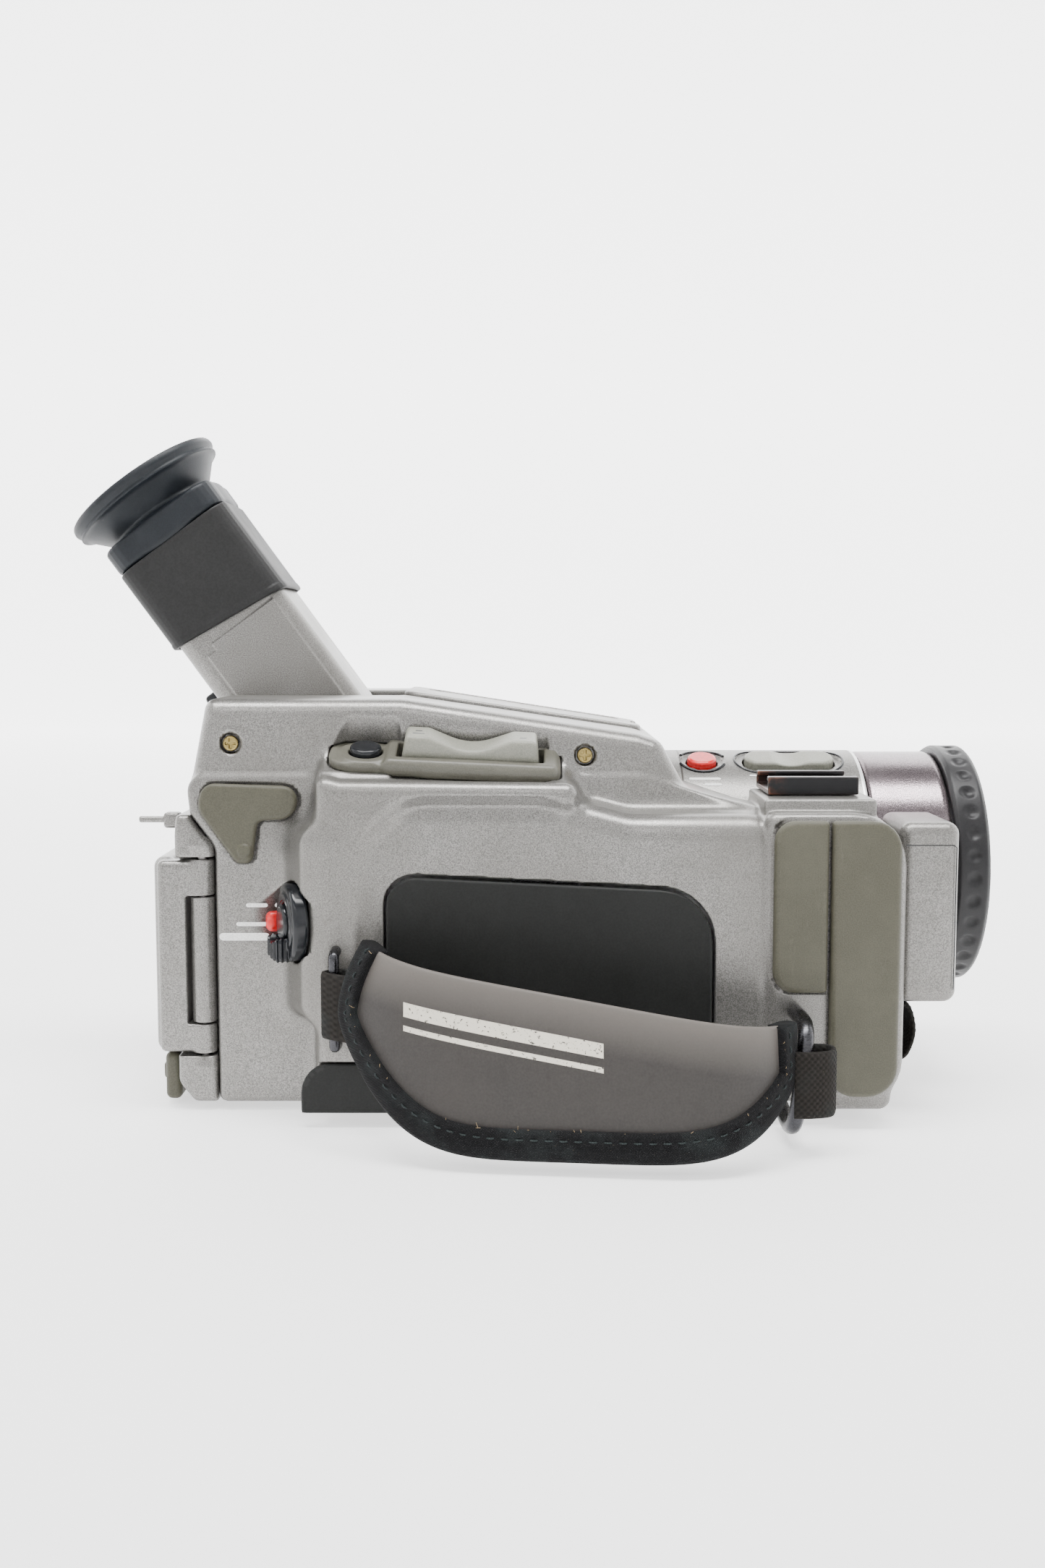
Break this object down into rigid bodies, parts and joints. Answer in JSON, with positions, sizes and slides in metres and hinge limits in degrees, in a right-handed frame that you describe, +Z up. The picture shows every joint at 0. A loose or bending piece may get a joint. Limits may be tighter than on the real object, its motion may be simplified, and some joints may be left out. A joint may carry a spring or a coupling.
{
  "type": "camcorder",
  "caption": "Hand-held tape camcorder with a tilting viewfinder on top, a round lens with a focus ring, rubber port flaps, a battery door and a padded hand strap",
  "frame": {"origin": "on the underside of the base plate, below the optical axis, near the middle of the body", "axes": "+X out of the lens, +Z up, -Y towards the hand strap and the cassette lid"},
  "size_m": [0.2429, 0.1408, 0.1729],
  "materials": {
    "casing": "satin metallic paint with a fine speckle",
    "dark_casing": "dark mauve-grey, semi-gloss",
    "black_plastic": "fine-textured black",
    "black_rubber": "soft matte black",
    "olive_rubber": "olive-grey, satin",
    "red_plastic": "glossy red",
    "steel": "brushed",
    "brass": "worn yellow plating",
    "optical_glass": "coated, clear",
    "circuit_board": "solder-masked board",
    "strap_leather": "brown-grey leatherette, matte",
    "webbing": "coarse black woven tape"
  },
  "bodies": {
    "camcorder_body": {"right_shell": "casing", "left_shell": "casing", "case_screw_1": "brass", "case_screw_2": "brass", "base_plate": "black_plastic", "tripod_bush": "brass", "rear_frame": "casing", "door_pin": "steel", "battery_pack": "black_plastic", "viewfinder_pin": "steel", "lens_housing": "casing", "lens_nose": "dark_casing", "optical_tube": "black_plastic", "front_element": "optical_glass", "sensor_block": "black_plastic", "microphone_housing": "casing", "accessory_shoe": "black_plastic", "zoom_trim": "olive_rubber", "grip_band": "black_plastic", "deck_chassis": "steel", "main_board": "circuit_board", "jack_board": "circuit_board", "keypad": "black_rubber", "control_panel": "dark_casing", "strap_pad": "strap_leather", "rear_webbing": "webbing", "front_webbing": "webbing", "front_tab": "webbing", "front_strap_bar": "steel", "rear_strap_bar": "steel"},
    "viewfinder": {"viewfinder_tube": "casing", "viewfinder_display": "black_plastic"},
    "eyepiece": {"viewfinder_sleeve": "black_plastic", "eyecup": "black_rubber", "eyepiece_lens": "optical_glass"},
    "power_dial": {"power_dial": "black_plastic"},
    "battery_door": {"battery_door": "casing"},
    "battery_release": {"battery_release": "casing"},
    "power_jack_flap": {"power_jack_flap": "olive_rubber"},
    "dioptre_lever": {"dioptre_lever": "black_plastic"},
    "rec_button": {"rec_button": "red_plastic"},
    "lens_rocker": {"lens_rocker": "olive_rubber"},
    "focus_ring": {"focus_ring": "black_rubber"},
    "zoom_group": {"zoom_group": "optical_glass"},
    "focus_group": {"focus_group": "optical_glass"},
    "zoom_rocker": {"zoom_rocker": "olive_rubber"},
    "photo_button": {"photo_button": "black_plastic"},
    "lock_button": {"lock_button": "red_plastic"},
    "record_button": {"record_button": "black_plastic"},
    "cassette_lid": {"cassette_lid": "black_plastic"},
    "head_drum": {"head_drum": "steel"},
    "supply_reel": {"supply_reel": "black_plastic"},
    "takeup_reel": {"takeup_reel": "black_plastic"},
    "upper_port_flap": {"upper_port_flap": "olive_rubber"},
    "long_port_flap": {"long_port_flap": "olive_rubber"},
    "remote_jack_flap": {"remote_jack_flap": "olive_rubber"},
    "control_lid": {"control_lid": "casing"},
    "white_balance_button": {"white_balance_button": "black_plastic"},
    "exposure_dial": {"exposure_dial": "black_plastic"}
  },
  "joints": [
    {"name": "viewfinder_tilt", "type": "hinge", "parent": "camcorder_body", "child": "viewfinder", "pos_m": [-0.05, 0, 0.086], "axis": [0, 1, 0], "range_deg": [-54, 36]},
    {"name": "viewfinder_extend", "type": "slide", "parent": "viewfinder", "child": "eyepiece", "axis": [-0.5878, 0, 0.809], "range_m": [0, 0.012]},
    {"name": "dioptre_slide", "type": "slide", "parent": "viewfinder", "child": "dioptre_lever", "axis": [0, 1, 0], "range_m": [-0.003, 0.003]},
    {"name": "control_lid_hinge", "type": "hinge", "parent": "camcorder_body", "child": "control_lid", "pos_m": [-0.0316, 0.0184, 0.1054], "axis": [-0.9886, 0, 0.1506], "range_deg": [0, 100]},
    {"name": "battery_door_hinge", "type": "hinge", "parent": "camcorder_body", "child": "battery_door", "pos_m": [-0.0804, -0.0432, 0.039], "axis": [0, 0, 1], "range_deg": [0, 100]},
    {"name": "battery_release_slide", "type": "slide", "parent": "camcorder_body", "child": "battery_release", "axis": [0, 1, 0], "range_m": [0, 0.004], "stiffness_N_per_m": 300},
    {"name": "power_flap_hinge", "type": "hinge", "parent": "camcorder_body", "child": "power_jack_flap", "pos_m": [-0.088, -0.0406, 0.007], "axis": [0, 0, 1], "range_deg": [0, 90]},
    {"name": "photo_press", "type": "slide", "parent": "camcorder_body", "child": "photo_button", "axis": [-0.0445, 0.3256, -0.9445], "range_m": [0, 0.0015], "stiffness_N_per_m": 400},
    {"name": "zoom_rock", "type": "hinge", "parent": "camcorder_body", "child": "zoom_rocker", "pos_m": [-0.01295, -0.04727, 0.08773], "axis": [0.0153, 0.9455, 0.3252], "range_deg": [-6, 6], "stiffness_Nm_per_rad": 0.05},
    {"name": "rec_press", "type": "slide", "parent": "camcorder_body", "child": "rec_button", "axis": [0, 0.342, -0.9397], "range_m": [0, 0.0012], "stiffness_N_per_m": 400},
    {"name": "lens_rock", "type": "hinge", "parent": "camcorder_body", "child": "lens_rocker", "pos_m": [0.072, -0.00992, 0.08425], "axis": [0, 0.9397, 0.342], "range_deg": [-4, 4], "stiffness_Nm_per_rad": 0.05},
    {"name": "focus_turn", "type": "hinge", "parent": "camcorder_body", "child": "focus_ring", "pos_m": [0.1125, 0, 0.057], "axis": [1, 0, 0], "continuous": true},
    {"name": "zoom_travel", "type": "slide", "parent": "camcorder_body", "child": "zoom_group", "axis": [1, 0, 0], "range_m": [-0.016, 0.018]},
    {"name": "focus_travel", "type": "slide", "parent": "camcorder_body", "child": "focus_group", "axis": [1, 0, 0], "range_m": [0, 0.006]},
    {"name": "power_turn", "type": "hinge", "parent": "camcorder_body", "child": "power_dial", "pos_m": [-0.0555, -0.052, 0.0495], "axis": [-0.9292, -0.3697, 0], "range_deg": [-25, 25]},
    {"name": "lock_press", "type": "slide", "parent": "power_dial", "child": "lock_button", "axis": [0.9292, 0.3697, 0], "range_m": [0, 0.0012], "stiffness_N_per_m": 300},
    {"name": "record_press", "type": "slide", "parent": "camcorder_body", "child": "record_button", "axis": [0.9292, 0.3697, 0], "range_m": [0, 0.0012], "stiffness_N_per_m": 300},
    {"name": "cassette_lid_hinge", "type": "hinge", "parent": "camcorder_body", "child": "cassette_lid", "pos_m": [0.0065, -0.0586, 0.0128], "axis": [1, 0, 0], "range_deg": [0, 18]},
    {"name": "head_drum_spin", "type": "hinge", "parent": "camcorder_body", "child": "head_drum", "pos_m": [0.006, -0.05, 0.0663], "axis": [0, -1, 0], "continuous": true},
    {"name": "supply_spin", "type": "hinge", "parent": "camcorder_body", "child": "supply_reel", "pos_m": [-0.01, -0.045, 0.03], "axis": [0, -1, 0], "continuous": true},
    {"name": "takeup_spin", "type": "hinge", "parent": "camcorder_body", "child": "takeup_reel", "pos_m": [0.024, -0.045, 0.03], "axis": [0, -1, 0], "continuous": true},
    {"name": "upper_port_hinge", "type": "hinge", "parent": "camcorder_body", "child": "upper_port_flap", "pos_m": [0.0738, -0.0624, 0.05], "axis": [0, 0, 1], "range_deg": [0, 85]},
    {"name": "long_port_hinge", "type": "hinge", "parent": "camcorder_body", "child": "long_port_flap", "pos_m": [0.0738, -0.0624, 0.05], "axis": [0, 0, -1], "range_deg": [0, 85]},
    {"name": "remote_flap_hinge", "type": "hinge", "parent": "camcorder_body", "child": "remote_jack_flap", "pos_m": [-0.067, -0.047, 0.0826], "axis": [-1, 0, 0], "range_deg": [0, 90]},
    {"name": "white_balance_press", "type": "slide", "parent": "camcorder_body", "child": "white_balance_button", "axis": [0, -1, 0], "range_m": [0, 0.001], "stiffness_N_per_m": 300},
    {"name": "exposure_turn", "type": "hinge", "parent": "camcorder_body", "child": "exposure_dial", "pos_m": [0.05, 0.0418, 0.03], "axis": [0, 1, 0], "continuous": true}
  ]
}
